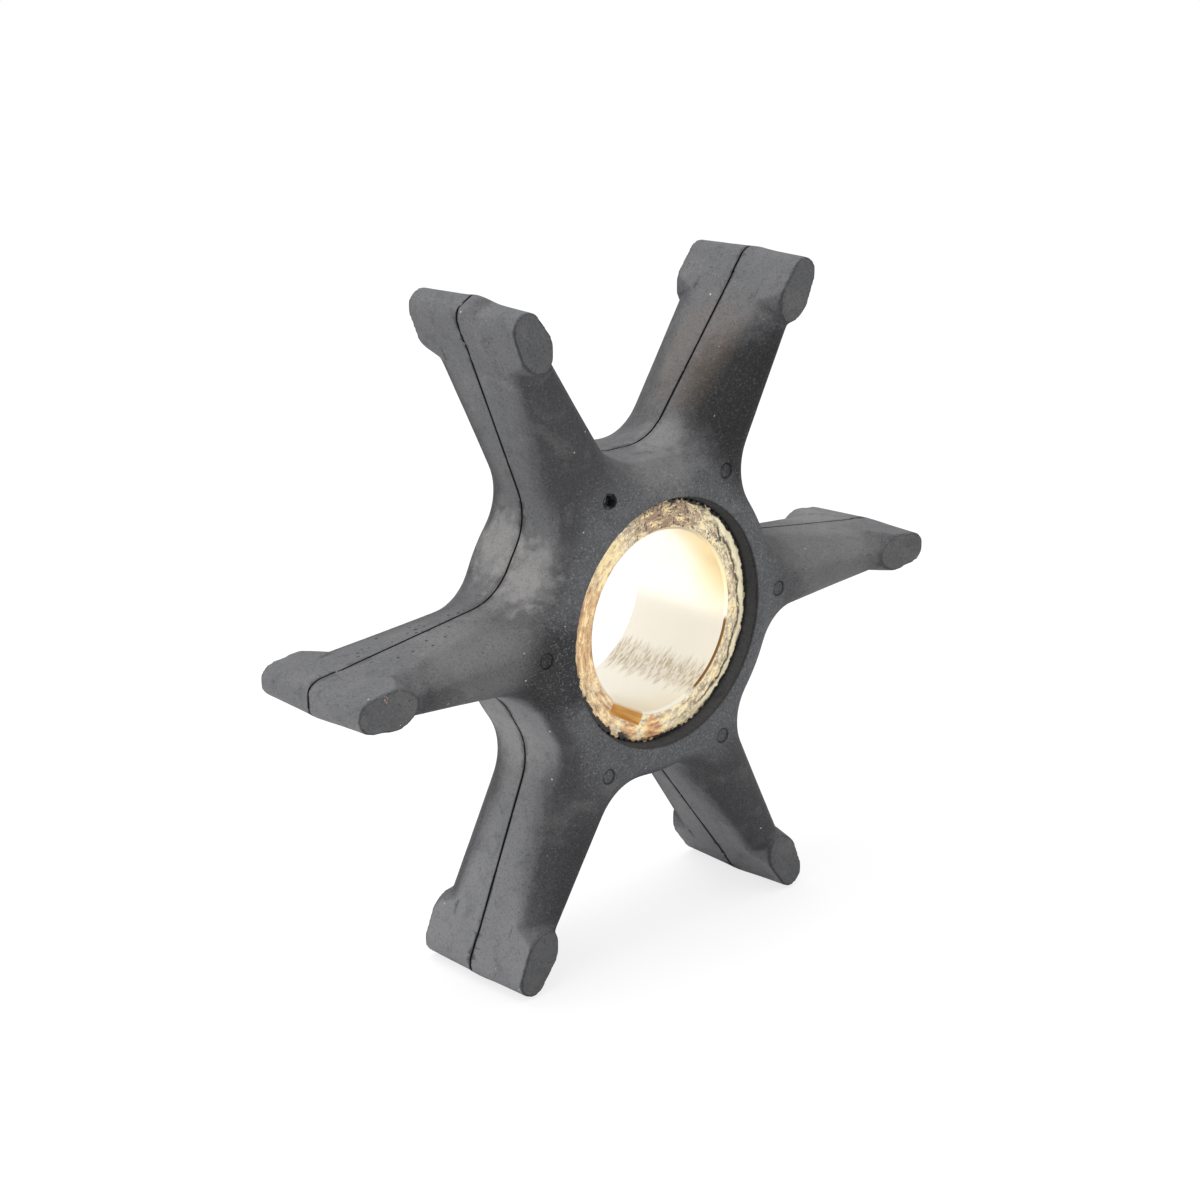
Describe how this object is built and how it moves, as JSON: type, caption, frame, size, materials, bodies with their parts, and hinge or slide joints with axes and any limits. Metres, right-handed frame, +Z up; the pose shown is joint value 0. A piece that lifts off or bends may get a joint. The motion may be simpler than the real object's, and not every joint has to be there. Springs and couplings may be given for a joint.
{
  "type": "rubber pump impeller",
  "caption": "Flexible rubber pump impeller with tapered radial vanes, square-edged vane tips and a keyed brass bushing bonded in its hub.",
  "frame": {"origin": "on the shaft axis, midway between the two faces of the rubber", "axes": "+Y along the shaft axis towards the back face, +Z up; the impeller stands on its two lower vane tips"},
  "size_m": [0.08, 0.015, 0.0702],
  "materials": {
    "black_rubber": "matte moulded black rubber, dusty",
    "brass": "turned bore, tarnished end face"
  },
  "bodies": {
    "root": {"rubber_impeller": "black_rubber", "brass_bushing": "brass"}
  },
  "joints": []
}
